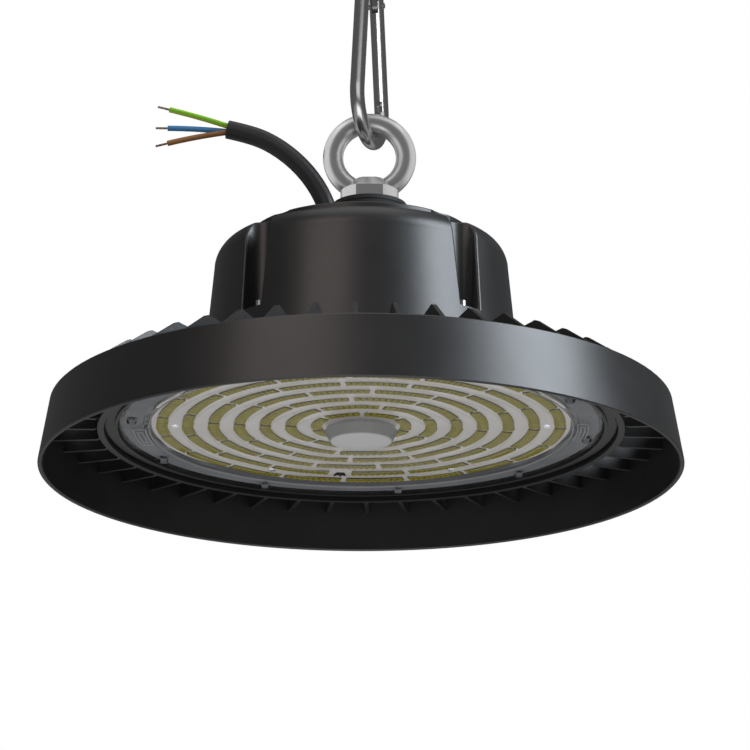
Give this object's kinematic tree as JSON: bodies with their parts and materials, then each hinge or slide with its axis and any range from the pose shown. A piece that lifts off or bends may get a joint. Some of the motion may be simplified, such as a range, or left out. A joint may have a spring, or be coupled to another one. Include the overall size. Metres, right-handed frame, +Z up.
{
  "type": "high bay light",
  "caption": "Round high bay light with a finned rim, a lobed driver housing, an eye bolt, a stripped supply lead and a snap hook to hang it by.",
  "frame": {"origin": "inside top of the snap hook's narrow end, where the support carries the weight", "axes": "+Z up along the hang line, +X along the eye ring's plane, -Y towards the side the picture shows"},
  "size_m": [0.31, 0.31, 0.2627],
  "materials": {
    "black_coat": "satin black powder coat",
    "black_rubber": "matt",
    "gasket_silicone": "matt",
    "zinc_screw": "bright zinc",
    "clear_lens": "clear moulded polycarbonate",
    "white_board": "matt white solder mask",
    "grey_pad": "matt",
    "phosphor": "yellow phosphor gel",
    "white_plastic": "moulded",
    "black_plastic": "moulded",
    "driver_shell": "potted module",
    "lead_red": "smooth",
    "lead_black": "smooth",
    "galvanised_steel": "bright zinc plated forging",
    "black_nylon": "moulded",
    "cable_black": "satin sheath",
    "core_green": "green insulation with a yellow stripe",
    "core_blue": "smooth",
    "core_brown": "smooth",
    "copper": "bare strands",
    "polished_steel": "polished"
  },
  "bodies": {
    "hook": {"snap_hook": "polished_steel", "gate_pin": "polished_steel"},
    "gate": {"snap_gate": "polished_steel"},
    "light": {"heat_sink": "black_coat", "driver_housing": "black_coat", "housing_gasket": "black_rubber", "housing_screws": "zinc_screw", "lens": "clear_lens", "lens_gasket": "gasket_silicone", "lens_screws": "zinc_screw", "led_board": "white_board", "thermal_pad": "grey_pad", "led_rows": "phosphor", "board_screws": "zinc_screw", "lead_terminal": "white_plastic", "board_clip": "black_plastic", "led_driver": "driver_shell", "driver_screws": "zinc_screw", "output_lead_left": "lead_red", "output_lead_right": "lead_black", "eye_bolt": "galvanised_steel", "eye_bolt_seal": "black_rubber", "eye_bolt_washer": "zinc_screw", "eye_bolt_nut": "zinc_screw", "gland_body": "black_nylon", "gland_seal": "black_rubber", "gland_nut": "black_nylon", "gland_locknut": "black_nylon", "supply_cable": "cable_black", "core_earth": "core_green", "core_neutral": "core_blue", "core_live": "core_brown", "strand_earth": "copper", "strand_neutral": "copper", "strand_live": "copper"}
  },
  "joints": [
    {"name": "light_swing", "type": "hinge", "parent": "hook", "child": "light", "pos_m": [0, 0, -0.0771], "axis": [1, 0, 0], "range_deg": [-60, 60]},
    {"name": "gate_swing", "type": "hinge", "parent": "hook", "child": "gate", "pos_m": [0.00354, 0.0109, -0.00978], "axis": [-0.9511, 0.309, 0], "range_deg": [0, 25], "stiffness_Nm_per_rad": 0.1, "springref_deg": -11.46}
  ]
}
